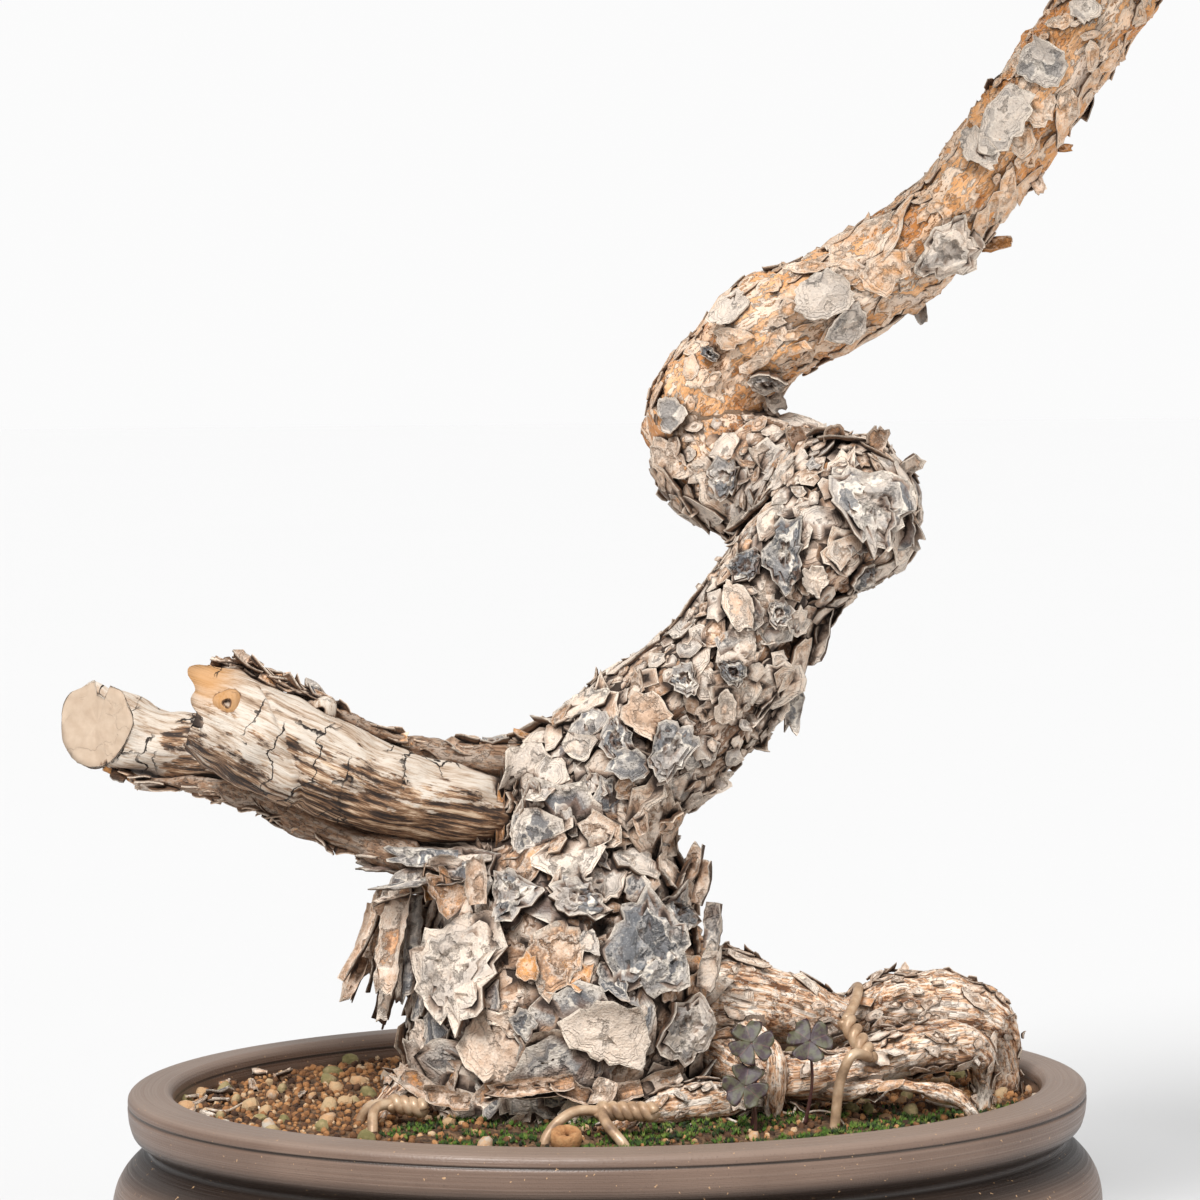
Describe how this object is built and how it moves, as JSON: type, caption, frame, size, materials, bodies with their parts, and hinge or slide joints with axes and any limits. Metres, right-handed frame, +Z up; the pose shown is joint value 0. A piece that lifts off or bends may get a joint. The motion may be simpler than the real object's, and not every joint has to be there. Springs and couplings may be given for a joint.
{
  "type": "scots pine bonsai",
  "caption": "Scots pine bonsai with flaking bark, a winding leaning trunk, bare broken stubs and thick surface roots, planted in an oval unglazed stoneware pot.",
  "frame": {"origin": "middle of the pot's flat foot, on the surface it stands on", "axes": "+Z up, X along the pot's long side, -Y towards the viewer's side; the tree is planted turned 7.5 degrees clockwise in the pot"},
  "size_m": [0.4269, 0.2388, 0.6156],
  "materials": {
    "pot_clay": "matte",
    "soil": "matte",
    "screen_mesh": "matte",
    "bark": "matte",
    "deadwood": "matte",
    "needles": "satin",
    "tie_wire": "satin",
    "clover": "satin",
    "husk": "matte"
  },
  "bodies": {
    "root": {"pot": "pot_clay", "soil": "soil", "drain_screen_left": "screen_mesh", "drain_screen_right": "screen_mesh", "trunk": "bark", "deadwood_branch": "deadwood", "foliage_right": "needles", "foliage_left": "needles", "foliage_front": "needles", "foliage_back": "needles", "foliage_upperRight": "needles", "foliage_upperLeft": "needles", "foliage_apex": "needles", "tie_wire_right": "tie_wire", "tie_wire_front": "tie_wire", "tie_wire_left": "tie_wire", "clover_1": "clover", "clover_2": "clover", "clover_3": "clover", "seed_husk": "husk"}
  },
  "joints": []
}
